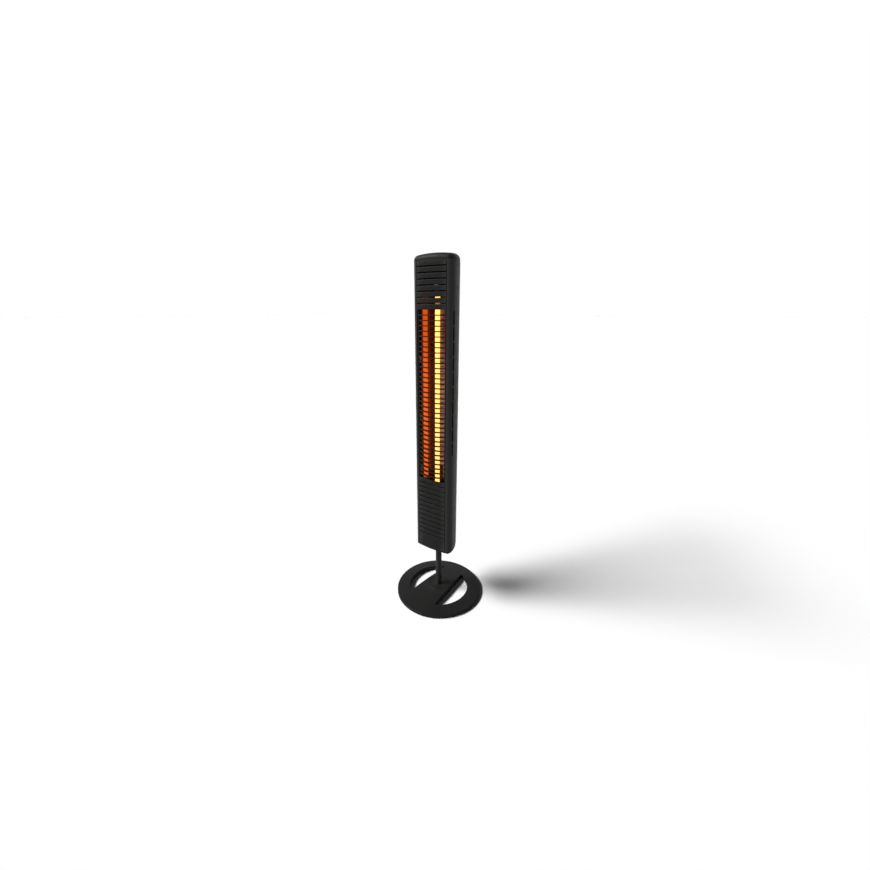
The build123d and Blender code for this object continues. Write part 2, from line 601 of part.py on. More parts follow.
# ---------------------------------------------------------------- housing
with BuildPart() as housing:
    with BuildSketch(Plane.XY.offset(HOUSING_BOTTOM)):
        add(head_outline())
        add(head_outline(WALL), mode=Mode.SUBTRACT)
        with Locations((0, FRONT_Y)):
            Rectangle(2 * WINDOW_HALF, 2 * PANEL_RETURN, mode=Mode.SUBTRACT)
        with Locations(*[(side * (WINDOW_HALF + PANEL_FOLD / 2), RETURN_Y) for side in (-1, 1)]):
            Rectangle(PANEL_FOLD, RETURN_Y - PANEL_EDGE_Y - WALL / 2, align=(Align.CENTER, Align.MAX))
        with Locations(*PORTS):
            Circle(PORT_RADIUS)
        with Locations(*PORTS):
            Circle(PORT_BORE, mode=Mode.SUBTRACT)
    extrude(amount=HOUSING_TOP - HOUSING_BOTTOM)
    with BuildSketch(Plane.XZ.offset(-PAD_FACE_Y)):
        with Locations((0, BUTTON_Z)):
            Circle(PAD_RADIUS)
    extrude(amount=PAD_THICKNESS)
    with BuildSketch(Plane.XZ.offset(-PAD_FACE_Y)):
        with Locations((0, BUTTON_Z)):
            Circle(BARREL_RADIUS + SLIP)
    extrude(amount=2 * PAD_THICKNESS, mode=Mode.SUBTRACT)
    with BuildSketch(Plane.YZ):
        first_slot = OPENING_TOP - SIDE_SLOT_DROP - SIDE_SLOT_PITCH / 2
        slot_levels = [first_slot - SIDE_SLOT_PITCH * i for i in range(SIDE_SLOT_COUNT)]
        with Locations(*[(SIDE_SLOT_Y, level) for level in slot_levels]):
            SlotOverall(SIDE_SLOT_PITCH - SIDE_SLOT_BRIDGE, SIDE_SLOT_WIDTH, rotation=90)
    extrude(amount=HEAD_WIDTH, both=True, mode=Mode.SUBTRACT)
    rear_screw_levels = [level + BULKHEAD_THICKNESS / 2 for level in (LOWER_BULKHEAD, UPPER_BULKHEAD)]
    with BuildSketch(Plane.XZ.offset(-PAD_FACE_Y)):
        with Locations(*[(0, level) for level in rear_screw_levels]):
            Circle(SCREW_RADIUS + SCREW_CLEARANCE)
    extrude(amount=2 * PAD_THICKNESS, mode=Mode.SUBTRACT)

with BuildPart() as bulkhead_screws:
    add(screws(Plane.XZ.offset(-REAR_Y), [(0, level) for level in rear_screw_levels], SCREW_GRIP))

# ---------------------------------------------------------------- front panel
def slats(levels, low, high):
    """Spans of sheet left between slots at the levels, from low to high."""
    edges = [low]
    for level in sorted(levels):
        edges += [level - SLOT_HEIGHT / 2, level + SLOT_HEIGHT / 2]
    edges.append(high)
    return list(zip(edges[::2], edges[1::2]))


with BuildPart() as front_panel:
    below_opening = slats(BOTTOM_SLOTS, PANEL_BOTTOM, OPENING_BOTTOM)
    above_opening = slats(TOP_SLOTS, OPENING_TOP, PANEL_TOP)
    for low, high in below_opening + above_opening:
        with BuildSketch(Plane.XY.offset(low)):
            add(bowed_strip(PANEL_WIDTH, PANEL_THICKNESS))
        extrude(amount=high - low)
    lips = front_panel.edges().filter_by(GeomType.CIRCLE)
    fillet(lips.filter_by(lambda e: e.radius > FRONT_BOW_RADIUS - PANEL_THICKNESS / 2), SLAT_ROUND)
    for side in (-1, 1):
        with BuildSketch(Plane.XY.offset(PANEL_BOTTOM)):
            with Locations((side * (PANEL_WIDTH - PANEL_FOLD) / 2, RETURN_Y)):
                Rectangle(PANEL_FOLD, RETURN_Y - PANEL_EDGE_Y - SLAT_ROUND, align=(Align.CENTER, Align.MAX))
        extrude(amount=PANEL_TOP - PANEL_BOTTOM)

# ---------------------------------------------------------------- grille
BAR_PITCH = (OPENING_TOP - OPENING_BOTTOM) / (BAR_COUNT + 1)
RAIL_CENTRE_X = PANEL_INNER - SEAT_GAP - GRILLE_RAIL_THICKNESS / 2
RAIL_Y = PANEL_EDGE_Y + SLAT_ROUND
with BuildPart() as bar:
    bar_front_y = FRONT_Y - BAR_BULGE
    end_front_y = RAIL_Y + BAR_END_INSET
    end_rear_y = RAIL_Y + GRILLE_RAIL_DEPTH - BAR_END_INSET
    with BuildSketch(Plane.XY.offset(-BAR_THICKNESS / 2)):
        with BuildLine():
            front_arc = ThreePointArc(
                (-RAIL_CENTRE_X, end_front_y), (0, bar_front_y), (RAIL_CENTRE_X, end_front_y)
            )
            rear_arc = ThreePointArc(
                (-RAIL_CENTRE_X, end_rear_y), (0, bar_front_y + BAR_DEPTH), (RAIL_CENTRE_X, end_rear_y)
            )
            Line(front_arc @ 0, rear_arc @ 0)
            Line(front_arc @ 1, rear_arc @ 1)
        make_face()
    extrude(amount=BAR_THICKNESS)

with BuildPart() as grille:
    for side in (-1, 1):
        with BuildSketch(Plane.XY.offset(OPENING_BOTTOM + SEAT_GAP)):
            with Locations((side * RAIL_CENTRE_X, RAIL_Y + GRILLE_RAIL_DEPTH / 2)):
                Rectangle(GRILLE_RAIL_THICKNESS, GRILLE_RAIL_DEPTH)
        extrude(amount=OPENING_TOP - OPENING_BOTTOM - 2 * SEAT_GAP)
    with Locations(*[(0, 0, OPENING_BOTTOM + BAR_PITCH * (i + 1)) for i in range(BAR_COUNT)]):
        add(bar.part)

# ---------------------------------------------------------------- panel clips
with BuildPart() as panel_clips:
    clip_span = (PANEL_TOP - PANEL_BOTTOM) / CLIP_ROWS
    outer_leaf = PANEL_WIDTH / 2 + (PANEL_GAP - CLIP_LEAF) / 2
    inner_leaf = PANEL_INNER - SEAT_GAP - CLIP_LEAF
    for row in range(CLIP_ROWS):
        level = PANEL_BOTTOM + clip_span * (row + 0.5) - CLIP_HEIGHT / 2
        with BuildSketch(Plane.XY.offset(level)):
            for side in (-1, 1):
                middle = side * (outer_leaf + CLIP_LEAF + inner_leaf) / 2
                width = outer_leaf + CLIP_LEAF - inner_leaf
                with Locations((middle, RETURN_Y + SEAT_GAP + CLIP_LEAF)):
                    Rectangle(width, CLIP_REACH + CLIP_LEAF, align=(Align.CENTER, Align.MAX))
                with Locations((side * (PANEL_WIDTH - PANEL_FOLD) / 2, RETURN_Y + SEAT_GAP)):
                    Rectangle(
                        PANEL_FOLD + 2 * SEAT_GAP,
                        2 * CLIP_REACH,
                        align=(Align.CENTER, Align.MAX),
                        mode=Mode.SUBTRACT,
                    )
        extrude(amount=CLIP_HEIGHT)

# ---------------------------------------------------------------- bulkheads, reflector and heat shield
TAP_PLANE = Plane.XZ.offset(-REAR_Y)


def bulkhead(level, flange_screws):
    """Cross plate of the head at a level, tapped at its rear edge and, where asked, from below."""
    with BuildPart() as plate:
        with BuildSketch(Plane.XY.offset(level)):
            add(bulkhead_plan())
        extrude(amount=BULKHEAD_THICKNESS)
        with BuildSketch(TAP_PLANE):
            with Locations((0, level + BULKHEAD_THICKNESS / 2)):
                Circle(SCREW_RADIUS + SLIP)
        extrude(amount=SCREW_GRIP + SEAT_GAP, mode=Mode.SUBTRACT)
        if flange_screws:
            with BuildSketch(Plane.XY.offset(level)):
                with Locations(*flange_screws):
                    Circle(SCREW_RADIUS + SLIP)
            extrude(amount=PLATE_SCREW_BITE + SEAT_GAP, mode=Mode.SUBTRACT)
    return plate.part


PLATE_SCREW_PLACES = [(side * PLATE_SCREW_X, PLATE_BACK_Y + PLATE_FLANGE / 2) for side in (-1, 1)]
with BuildPart() as lower_bulkhead:
    add(bulkhead(LOWER_BULKHEAD, PLATE_SCREW_PLACES))

with BuildPart() as upper_bulkhead:
    add(bulkhead(UPPER_BULKHEAD, []))

with BuildPart() as reflector:
    wing_depth = REFLECTOR_BACK_Y - REFLECTOR_FRONT_Y
    back_x = REFLECTOR_MOUTH_X - wing_depth * tan(radians(REFLECTOR_WING_ANGLE))
    lip_x = REFLECTOR_MOUTH_X + REFLECTOR_LIP
    with BuildSketch(Plane.XY.offset(LOWER_BULKHEAD_TOP)):
        with BuildLine():
            trough = Polyline(
                (-lip_x, REFLECTOR_FRONT_Y),
                (-REFLECTOR_MOUTH_X, REFLECTOR_FRONT_Y),
                (-back_x, REFLECTOR_BACK_Y),
                (back_x, REFLECTOR_BACK_Y),
                (REFLECTOR_MOUTH_X, REFLECTOR_FRONT_Y),
                (lip_x, REFLECTOR_FRONT_Y),
            )
            offset(trough, amount=REFLECTOR_SHEET, side=Side.LEFT, kind=Kind.INTERSECTION)
        make_face()
    extrude(amount=UPPER_BULKHEAD - LOWER_BULKHEAD_TOP)

with BuildPart() as heat_shield:
    shield_y = REFLECTOR_BACK_Y + SHIELD_GAP
    with BuildSketch(Plane.XY.offset(LOWER_BULKHEAD_TOP)):
        with Locations((0, shield_y)):
            Rectangle(SHIELD_WIDTH, SHIELD_SHEET, align=(Align.CENTER, Align.MIN))
        with Locations(*[(side * (SHIELD_WIDTH - SHIELD_SHEET) / 2, shield_y) for side in (-1, 1)]):
            Rectangle(SHIELD_SHEET, SHIELD_SIDE, align=(Align.CENTER, Align.MAX))
    extrude(amount=UPPER_BULKHEAD - LOWER_BULKHEAD_TOP)

# ---------------------------------------------------------------- heat lamp
LAMP_AXIS = (0, LAMP_Y)
CERAMIC_SPANS = ((HOT_BOTTOM, -1), (HOT_TOP, 1))
with BuildPart() as lamp_tube:
    with BuildSketch(Plane.XY.offset(HOT_BOTTOM - LAMP_IN_CAP)):
        with Locations(LAMP_AXIS):
            Circle(LAMP_RADIUS)
            Circle(LAMP_RADIUS - LAMP_WALL, mode=Mode.SUBTRACT)
    extrude(amount=HOT_TOP - HOT_BOTTOM + 2 * LAMP_IN_CAP)

with BuildPart() as lamp_ceramics:
    for level, direction in CERAMIC_SPANS:
        with BuildSketch(Plane.XY.offset(level)):
            with Locations(LAMP_AXIS):
                Circle(CERAMIC_RADIUS)
        extrude(amount=CERAMIC_LENGTH * direction)
    fillet(lamp_ceramics.edges().filter_by(GeomType.CIRCLE), CERAMIC_ROUND)
    for level, direction in CERAMIC_SPANS:
        with BuildSketch(Plane.XY.offset(level)):
            with Locations(LAMP_AXIS):
                Circle(LAMP_RADIUS + SLIP)
        extrude(amount=LAMP_IN_CAP * direction, mode=Mode.SUBTRACT)
        with BuildSketch(Plane.XY.offset(level)):
            with Locations(LAMP_AXIS):
                Circle(LEAD_RADIUS + SLIP)
        extrude(amount=CERAMIC_LENGTH * direction, mode=Mode.SUBTRACT)

with BuildPart() as heating_ribbon:
    with BuildSketch(Plane.XY.offset(HOT_BOTTOM)):
        with Locations(LAMP_AXIS):
            Rectangle(RIBBON_WIDTH, RIBBON_THICKNESS)
    extrude(amount=HOT_TOP - HOT_BOTTOM)
    for level, direction in CERAMIC_SPANS:
        with BuildSketch(Plane.XY.offset(level - LAMP_PIN_RADIUS * direction)):
            with Locations(LAMP_AXIS):
                Circle(LAMP_PIN_RADIUS)
        extrude(amount=(LAMP_PIN_RADIUS + LAMP_IN_CAP) * direction)

with BuildPart() as lamp_collars:
    for level in (LOWER_BULKHEAD - COLLAR_HEIGHT, UPPER_BULKHEAD + BULKHEAD_THICKNESS):
        with BuildSketch(Plane.XY.offset(level)):
            with Locations(LAMP_AXIS):
                Circle(CERAMIC_RADIUS + SLIP + COLLAR_WALL)
                Circle(CERAMIC_RADIUS + SLIP, mode=Mode.SUBTRACT)
        extrude(amount=COLLAR_HEIGHT)

# ---------------------------------------------------------------- cable gland, under the rear of the head
with BuildPart() as gland_body:
    with BuildSketch(Plane.XY.offset(HEAD_BOTTOM - GLAND_HEX)):
        with Locations((0, GLAND_Y)):
            RegularPolygon(GLAND_HEX_RADIUS, 6)
    extrude(amount=GLAND_HEX)
    with BuildSketch(Plane.XY.offset(HEAD_BOTTOM - GLAND_HEX)):
        with Locations((0, GLAND_Y)):
            Circle(GLAND_THREAD_RADIUS)
    extrude(amount=GLAND_LENGTH)
    with BuildSketch(Plane.XY.offset(HEAD_BOTTOM - GLAND_HEX)):
        with Locations((0, GLAND_Y)):
            Circle(GLAND_BORE_RADIUS)
    extrude(amount=GLAND_LENGTH, mode=Mode.SUBTRACT)

with BuildPart() as gland_dome_nut:
    with BuildSketch(Plane.XY.offset(HEAD_BOTTOM - GLAND_HEX)):
        with Locations((0, GLAND_Y)):
            Circle(GLAND_HEX_RADIUS)
    extrude(amount=-GLAND_DOME, taper=GLAND_DOME_TAPER)
    fillet(gland_dome_nut.edges().group_by(Axis.Z)[0], GLAND_SEAL_WALL)
    with BuildSketch(Plane.XY.offset(HEAD_BOTTOM - GLAND_HEX)):
        with Locations((0, GLAND_Y)):
            Circle(GLAND_BORE_RADIUS + GLAND_SEAL_WALL)
    extrude(amount=-GLAND_DOME, mode=Mode.SUBTRACT)

with BuildPart() as gland_seal:
    with BuildSketch(Plane.XY.offset(HEAD_BOTTOM - GLAND_HEX)):
        with Locations((0, GLAND_Y)):
            Circle(GLAND_BORE_RADIUS + GLAND_SEAL_WALL - SLIP)
            Circle(GLAND_BORE_RADIUS, mode=Mode.SUBTRACT)
    extrude(amount=-GLAND_SEAL_LENGTH)

with BuildPart() as gland_locknut:
    with BuildSketch(Plane.XY.offset(HOUSING_BOTTOM)):
        with Locations((0, GLAND_Y)):
            RegularPolygon(GLAND_HEX_RADIUS, 6)
            Circle(GLAND_THREAD_RADIUS + SLIP, mode=Mode.SUBTRACT)
    extrude(amount=GLAND_LOCKNUT)

# ---------------------------------------------------------------- power button on the rear
BEZEL_FACE_Y = PAD_FACE_Y + SEAL_THICKNESS + BEZEL_FLANGE
BUTTON_INNER_Y = PAD_FACE_Y - BARREL_LENGTH / 2
PAD_BACK_Y = PAD_FACE_Y - PAD_THICKNESS


def rear_disc(face_y, radius):
    """Round sketch on the rear, square to Y, centred on the button."""
    with BuildSketch(Plane.XZ.offset(-face_y)) as disc:
        with Locations((0, BUTTON_Z)):
            Circle(radius)
    return disc.sketch


with BuildPart() as button_seal:
    extrude(rear_disc(PAD_FACE_Y, BEZEL_RADIUS - SEAT_GAP), amount=-SEAL_THICKNESS)
    extrude(rear_disc(PAD_FACE_Y, BARREL_RADIUS + SLIP), amount=-SEAL_THICKNESS, mode=Mode.SUBTRACT)

with BuildPart() as button_bezel:
    extrude(rear_disc(BEZEL_FACE_Y, BEZEL_RADIUS), amount=BEZEL_FLANGE)
    extrude(rear_disc(BEZEL_FACE_Y, BARREL_RADIUS), amount=BEZEL_FACE_Y - PAD_FACE_Y + BARREL_LENGTH)
    bezel_rim = button_bezel.edges().filter_by(GeomType.CIRCLE).group_by(Axis.Y)[-1]
    fillet(bezel_rim, BEZEL_ROUND)
    bore = BEZEL_FACE_Y - BUTTON_INNER_Y + BUTTON_TRAVEL + BUTTON_RUNNING_GAP * 4
    extrude(rear_disc(BEZEL_FACE_Y, BUTTON_RADIUS + BUTTON_RUNNING_GAP), amount=bore, mode=Mode.SUBTRACT)

with BuildPart() as power_button:
    button_length = BEZEL_FACE_Y + BUTTON_PROUD - BUTTON_INNER_Y
    extrude(rear_disc(BEZEL_FACE_Y + BUTTON_PROUD, BUTTON_RADIUS), amount=button_length)
    fillet(power_button.edges().filter_by(GeomType.CIRCLE).group_by(Axis.Y)[-1], BUTTON_ROUND)

with BuildPart() as button_nut:
    with BuildSketch(Plane.XZ.offset(-PAD_BACK_Y)):
        with Locations((0, BUTTON_Z)):
            RegularPolygon(SWITCH_NUT_RADIUS, 6)
            Circle(BARREL_RADIUS + SLIP, mode=Mode.SUBTRACT)
    extrude(amount=SWITCH_NUT)

with BuildPart() as button_blades:
    barrel_end = PAD_FACE_Y - BARREL_LENGTH
    with BuildSketch(Plane.XZ.offset(-barrel_end)):
        with Locations(*[(side * BARREL_RADIUS / 2, BUTTON_Z) for side in (-1, 1)]):
            Rectangle(BLADE_THICKNESS, BLADE_WIDTH)
    extrude(amount=BLADE_LENGTH)

# ---------------------------------------------------------------- electrics plate and what it carries
with BuildPart() as electrics_plate:
    with BuildSketch(Plane.XY.offset(PLATE_BOTTOM)):
        with Locations((0, PLATE_Y)):
            Rectangle(PLATE_WIDTH, PLATE_SHEET, align=(Align.CENTER, Align.MIN))
    extrude(amount=PLATE_TOP - PLATE_BOTTOM)
    with BuildSketch(Plane.XY.offset(PLATE_TOP)):
        with Locations((0, PLATE_Y)):
            Rectangle(PLATE_WIDTH, PLATE_SHEET + PLATE_FLANGE, align=(Align.CENTER, Align.MIN))
        with Locations(*PLATE_SCREW_PLACES):
            Circle(SCREW_RADIUS + SCREW_CLEARANCE, mode=Mode.SUBTRACT)
    extrude(amount=-PLATE_SHEET)
    with BuildSketch(Plane.XZ.offset(-PLATE_BACK_Y)):
        with Locations((-TERMINAL_PITCH, LOWER_LEAD_Z)):
            Circle(LEAD_HOLE)
        with Locations((EARTH_X, EARTH_Z)):
            Circle(EARTH_RADIUS + SLIP)
    extrude(amount=2 * PLATE_SHEET, mode=Mode.SUBTRACT)

with BuildPart() as plate_screws:
    add(screws(Plane.XY.offset(PLATE_TOP - PLATE_SHEET), PLATE_SCREW_PLACES, PLATE_SHEET + PLATE_SCREW_BITE))

TERMINAL_WIDTH, TERMINAL_DEPTH, TERMINAL_HEIGHT = TERMINAL_SIZE
TERMINAL_TOP = TERMINAL_Z + TERMINAL_HEIGHT / 2
TERMINAL_Y = PLATE_BACK_Y + TERMINAL_DEPTH / 2
TERMINAL_XS = [TERMINAL_PITCH * (i - (TERMINAL_POLES - 1) / 2) for i in range(TERMINAL_POLES)]
TERMINAL_FACE = Plane.XZ.offset(-PLATE_BACK_Y - TERMINAL_DEPTH)
TERMINAL_SCREW_PLACES = [(x, TERMINAL_Z + row * TERMINAL_HEIGHT / 4) for x in TERMINAL_XS for row in (-1, 1)]

with BuildPart() as terminal_block:
    with BuildSketch(Plane.XY.offset(TERMINAL_TOP)):
        with Locations((0, TERMINAL_Y)):
            Rectangle(TERMINAL_WIDTH, TERMINAL_DEPTH)
    extrude(amount=-TERMINAL_HEIGHT)
    fillet(terminal_block.edges().filter_by(Axis.Y), TERMINAL_ROUND)
    for level, depth in ((TERMINAL_TOP, -LEAD_TAIL), (TERMINAL_TOP - TERMINAL_HEIGHT, LEAD_TAIL)):
        with BuildSketch(Plane.XY.offset(level)):
            with Locations(*[(x, TERMINAL_Y) for x in TERMINAL_XS]):
                Circle(LEAD_RADIUS + SLIP)
        extrude(amount=depth, mode=Mode.SUBTRACT)
    with BuildSketch(TERMINAL_FACE):
        with Locations(*TERMINAL_SCREW_PLACES):
            Circle(TERMINAL_SCREW_RADIUS + SLIP)
    extrude(amount=TERMINAL_SCREW_LENGTH, mode=Mode.SUBTRACT)

with BuildPart() as terminal_screws:
    with BuildSketch(TERMINAL_FACE):
        with Locations(*TERMINAL_SCREW_PLACES):
            Circle(TERMINAL_SCREW_RADIUS)
    extrude(amount=TERMINAL_SCREW_LENGTH)
    with BuildSketch(TERMINAL_FACE):
        with Locations(*TERMINAL_SCREW_PLACES):
            Rectangle(2 * TERMINAL_SCREW_RADIUS, SCREW_SLOT_WIDTH)
    extrude(amount=SCREW_SLOT_DEPTH, mode=Mode.SUBTRACT)

with BuildPart() as earth_stud:
    with BuildSketch(Plane.XZ.offset(-PLATE_BACK_Y)):
        with Locations((EARTH_X, EARTH_Z)):
            Circle(EARTH_RADIUS)
    extrude(amount=-EARTH_LENGTH)
    with BuildSketch(Plane.XZ.offset(-PLATE_BACK_Y)):
        with Locations((EARTH_X, EARTH_Z)):
            Circle(EARTH_RADIUS)
    extrude(amount=PLATE_SHEET)
    with BuildSketch(Plane.XZ.offset(-PLATE_Y)):
        with Locations((EARTH_X, EARTH_Z)):
            Circle(EARTH_NUT_RADIUS)
    extrude(amount=EARTH_NUT * 0.7)

with BuildPart() as earth_nut:
    with BuildSketch(Plane.XZ.offset(-PLATE_BACK_Y)):
        with Locations((EARTH_X, EARTH_Z)):
            RegularPolygon(EARTH_NUT_RADIUS, 6)
            Circle(EARTH_RADIUS + SLIP, mode=Mode.SUBTRACT)
    extrude(amount=-EARTH_NUT)

with BuildPart() as thermal_cut_off:
    with BuildSketch(Plane.XZ.offset(-PLATE_Y)):
        with Locations((CUT_OFF_X, CUT_OFF_Z)):
            SlotOverall(CUT_OFF_FLANGE, CUT_OFF_RADIUS)
    extrude(amount=CUT_OFF_STRAP)
    with BuildSketch(Plane.XZ.offset(-PLATE_Y)):
        with Locations((CUT_OFF_X, CUT_OFF_Z)):
            Circle(CUT_OFF_RADIUS)
    extrude(amount=CUT_OFF_HEIGHT)
    fillet(thermal_cut_off.edges().filter_by(GeomType.CIRCLE).group_by(Axis.Y)[0], CUT_OFF_STRAP)

# ---------------------------------------------------------------- tilt switch
TILT_WIDTH, TILT_SHEET, TILT_LENGTH = TILT_BASE
TILT_FACE_Y = PLATE_Y - TILT_SHEET
TILT_SWING_Y = TILT_FACE_Y - TILT_SIDE_GAP


def pivot_disc(front_y, radius):
    """Round sketch square to Y at the pivot of the tilt switch."""
    with BuildSketch(Plane.XZ.offset(-front_y)) as disc:
        with Locations((TILT_X, TILT_PIVOT_Z)):
            Circle(radius)
    return disc.sketch


sensor_width, sensor_depth, sensor_height = TILT_SENSOR
SENSOR_BOTTOM = TILT_PIVOT_Z + TILT_FINGER + SENSOR_GAP
TILT_BASE_TOP = SENSOR_BOTTOM + sensor_height + SENSOR_GAP
with BuildPart() as tilt_switch_base:
    with BuildSketch(Plane.XZ.offset(-PLATE_Y)):
        with Locations((TILT_X, TILT_BASE_TOP - TILT_LENGTH / 2)):
            RectangleRounded(TILT_WIDTH, TILT_LENGTH, TILT_CORNER)
    extrude(amount=TILT_SHEET)
    extrude(pivot_disc(TILT_FACE_Y, TILT_PIN_RADIUS + PIN_SHOULDER), amount=TILT_SIDE_GAP - PIVOT_END_PLAY)
    extrude(pivot_disc(PLATE_Y, TILT_PIN_RADIUS + SLIP), amount=2 * PLATE_Y, mode=Mode.SUBTRACT)

with BuildPart() as tilt_pivot_pin:
    pin_end = TILT_SWING_Y - TILT_BOB_THICKNESS - PIVOT_END_PLAY
    extrude(pivot_disc(PLATE_Y, TILT_PIN_RADIUS), amount=PLATE_Y - pin_end)
    extrude(pivot_disc(pin_end, TILT_PIN_RADIUS + PIN_SHOULDER), amount=PIN_SHOULDER)

with BuildPart() as tilt_pendulum:
    extrude(pivot_disc(TILT_SWING_Y, TILT_HUB_RADIUS), amount=TILT_BOB_THICKNESS)
    with BuildSketch(Plane.XZ.offset(-TILT_SWING_Y)):
        with Locations((TILT_X, TILT_PIVOT_Z - TILT_ARM)):
            Circle(TILT_BOB_RADIUS)
        with Locations((TILT_X, TILT_PIVOT_Z - TILT_ARM / 2)):
            Rectangle(TILT_HUB_RADIUS, TILT_ARM)
        with Locations((TILT_X, TILT_PIVOT_Z)):
            Rectangle(TILT_HUB_RADIUS, 2 * TILT_FINGER)
    extrude(amount=TILT_BOB_THICKNESS)
    bore = pivot_disc(TILT_SWING_Y, TILT_PIN_RADIUS + PIVOT_PLAY)
    extrude(bore, amount=TILT_BOB_THICKNESS, mode=Mode.SUBTRACT)

with BuildPart() as tilt_sensor:
    with BuildSketch(Plane.XZ.offset(-TILT_FACE_Y)):
        with Locations((TILT_X, SENSOR_BOTTOM + sensor_height / 2)):
            RectangleRounded(sensor_width, sensor_height, TILT_CORNER / 2)
    extrude(amount=sensor_depth)

# ---------------------------------------------------------------- leads of the lamp


def lead(*points):
    """Insulated lead along straight runs with round bends."""
    with BuildPart() as wire:
        with BuildLine() as route:
            FilletPolyline(*points, radius=LEAD_BEND)
        with BuildSketch(Plane(route.line @ 0, z_dir=route.line % 0)):
            Circle(LEAD_RADIUS)
        sweep()
    return wire.part


CERAMIC_PIN_END = LAMP_IN_CAP + LEAD_PIN_GAP
with BuildPart() as upper_lamp_lead:
    ceramic_top = HOT_TOP + CERAMIC_LENGTH
    add(
        lead(
            (0, LAMP_Y, HOT_TOP + CERAMIC_PIN_END),
            (0, LAMP_Y, ceramic_top + LEAD_RISE),
            (LEAD_X, LEAD_Y, ceramic_top + LEAD_RISE),
            (LEAD_X, LEAD_Y, TERMINAL_TOP + 2 * LEAD_RISE),
            (TERMINAL_PITCH, TERMINAL_Y, TERMINAL_TOP + LEAD_RISE),
            (TERMINAL_PITCH, TERMINAL_Y, TERMINAL_TOP - LEAD_TAIL + LEAD_PIN_GAP),
        )
    )

with BuildPart() as lower_lamp_lead:
    add(
        lead(
            (0, LAMP_Y, HOT_BOTTOM - CERAMIC_PIN_END),
            (0, LAMP_Y, LOWER_LEAD_Z),
            (-TERMINAL_PITCH, PLATE_Y - LEAD_BEND, LOWER_LEAD_Z),
            (-TERMINAL_PITCH, TERMINAL_Y, LOWER_LEAD_Z),
            (-TERMINAL_PITCH, TERMINAL_Y, TERMINAL_TOP - LEAD_TAIL + LEAD_PIN_GAP),
        )
    )

# ---------------------------------------------------------------- names and files
PIECES = {
    "base_plate": base_plate,
    "rubber_feet": rubber_feet,
    "pole_flange": pole_flange,
    "base_washers": base_washers,
    "base_bolts": base_bolts,
    "pole": pole,
    "pole_socket": pole_socket,
    "pole_grub_screws": pole_grub_screws,
    "socket_screws": socket_screws,
    "bottom_cap": bottom_cap,
    "bottom_cap_screws": bottom_cap_screws,
    "top_cap": top_cap,
    "top_cap_screws": top_cap_screws,
    "housing": housing,
    "bulkhead_screws": bulkhead_screws,
    "front_panel": front_panel,
    "grille": grille,
    "panel_clips": panel_clips,
    "lower_bulkhead": lower_bulkhead,
    "upper_bulkhead": upper_bulkhead,
    "reflector": reflector,
    "heat_shield": heat_shield,
    "lamp_tube": lamp_tube,
    "lamp_ceramics": lamp_ceramics,
    "heating_ribbon": heating_ribbon,
    "lamp_collars": lamp_collars,
    "gland_body": gland_body,
    "gland_dome_nut": gland_dome_nut,
    "gland_seal": gland_seal,
    "gland_locknut": gland_locknut,
    "button_seal": button_seal,
    "button_bezel": button_bezel,
    "power_button": power_button,
    "button_nut": button_nut,
    "button_blades": button_blades,
    "electrics_plate": electrics_plate,
    "plate_screws": plate_screws,
    "terminal_block": terminal_block,
    "terminal_screws": terminal_screws,
    "earth_stud": earth_stud,
    "earth_nut": earth_nut,
    "thermal_cut_off": thermal_cut_off,
    "tilt_switch_base": tilt_switch_base,
    "tilt_pivot_pin": tilt_pivot_pin,
    "tilt_pendulum": tilt_pendulum,
    "tilt_sensor": tilt_sensor,
    "upper_lamp_lead": upper_lamp_lead,
    "lower_lamp_lead": lower_lamp_lead,
}

for name, piece in PIECES.items():
    piece.part.label = name
    export_step(piece.part, f"parts/{name}.step")
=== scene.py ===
"""Looks of the infrared patio heater tower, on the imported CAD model. Metres, +Z up, front towards -Y."""
import json
from math import cos, radians, sin

import bpy
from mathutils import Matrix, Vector

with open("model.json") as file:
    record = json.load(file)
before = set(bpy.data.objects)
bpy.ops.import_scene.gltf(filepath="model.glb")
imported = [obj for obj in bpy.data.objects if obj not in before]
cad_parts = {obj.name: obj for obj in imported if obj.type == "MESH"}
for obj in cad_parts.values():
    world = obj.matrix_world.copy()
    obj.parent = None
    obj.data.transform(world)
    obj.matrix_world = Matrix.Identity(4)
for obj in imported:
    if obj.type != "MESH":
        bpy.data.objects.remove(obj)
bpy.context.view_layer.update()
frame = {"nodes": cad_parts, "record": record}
scene = bpy.context.scene
scene.view_settings.view_transform = "Standard"

# --- camera: the photograph's place, heading and lens, fitted to its outlines -------------------
CAMERA_PLACE = (0.6605, -1.0361, 0.998)
CAMERA_PITCH = 15.72  # degrees below the horizon
CAMERA_HEADING = 33.14  # degrees from +Y towards -X
LENS_PIXELS = 392.5  # focal length, in pixels of the photograph
IMAGE_PIXELS = 870
CENTRE_RISE_PIXELS = 16.5  # how far above the picture's middle the lens's axis meets it
SENSOR_WIDTH = 36
VIEW_REACH = 200

lens = bpy.data.cameras.new("camera")
lens.sensor_width = SENSOR_WIDTH
lens.lens = LENS_PIXELS / IMAGE_PIXELS * SENSOR_WIDTH
lens.shift_y = -CENTRE_RISE_PIXELS / IMAGE_PIXELS
lens.clip_end = VIEW_REACH
camera = bpy.data.objects.new("camera", lens)
camera.location = CAMERA_PLACE
camera.rotation_euler = (radians(90 - CAMERA_PITCH), 0, radians(CAMERA_HEADING))
scene.collection.objects.link(camera)
scene.camera = camera

# --- node helpers -------------------------------------------------------------------------------
MIX_FIRST, MIX_SECOND, MIX_RESULT = 6, 7, 2  # where a Mix node keeps its colours
SHARP_LOW, SHARP_HIGH = 0.52, 0.6  # pointiness at which an outer edge begins, and is in full


